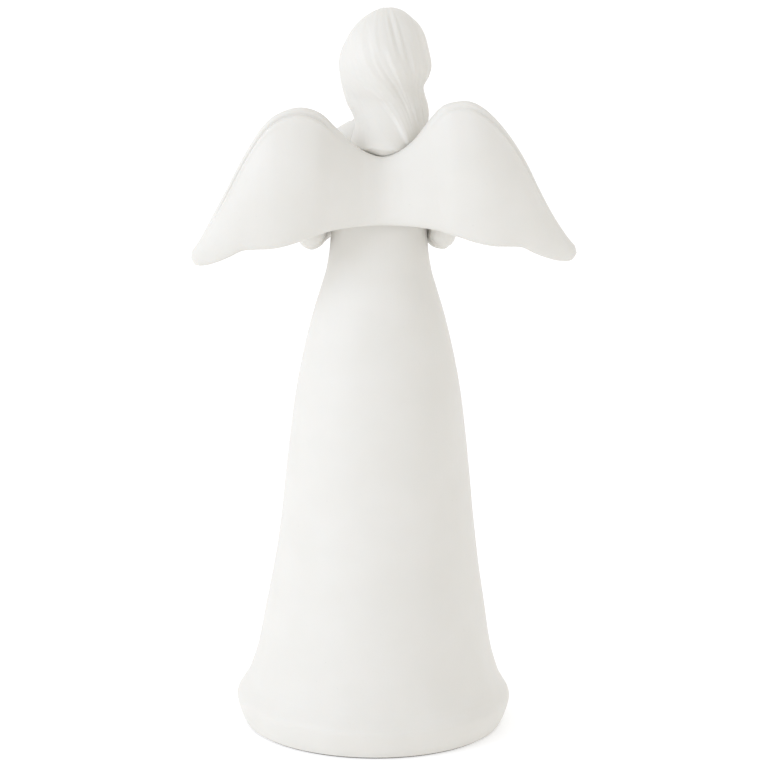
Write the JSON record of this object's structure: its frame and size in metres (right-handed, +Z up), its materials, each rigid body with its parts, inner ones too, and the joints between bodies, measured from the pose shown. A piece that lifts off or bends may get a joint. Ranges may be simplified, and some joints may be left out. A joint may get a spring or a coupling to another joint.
{
  "type": "angel figurine",
  "caption": "Standing robed angel figurine in off-white cast resin, with folded-down wings across the back, joined hands and a flared round hem on a felt foot.",
  "frame": {"origin": "centre of the face it rests on, on the axis of the round hem", "axes": "+Z up along the height, -Y out of the figure's front, +X towards the figure's left"},
  "size_m": [0.1141, 0.0836, 0.22],
  "materials": {
    "resin": "satin-matt off-white painted polyresin",
    "plug_resin": "unpainted polyresin",
    "felt": "short wool felt",
    "pin_steel": "drawn wire"
  },
  "bodies": {
    "root": {"robe": "resin", "base_plug": "plug_resin", "base_pad": "felt", "neck_pin": "pin_steel", "head": "resin", "hair": "resin", "wings": "resin", "left_wing_pin": "pin_steel", "right_wing_pin": "pin_steel", "left_arm": "resin", "right_arm": "resin", "left_arm_pin": "pin_steel", "right_arm_pin": "pin_steel", "left_hand": "resin", "right_hand": "resin"}
  },
  "joints": []
}
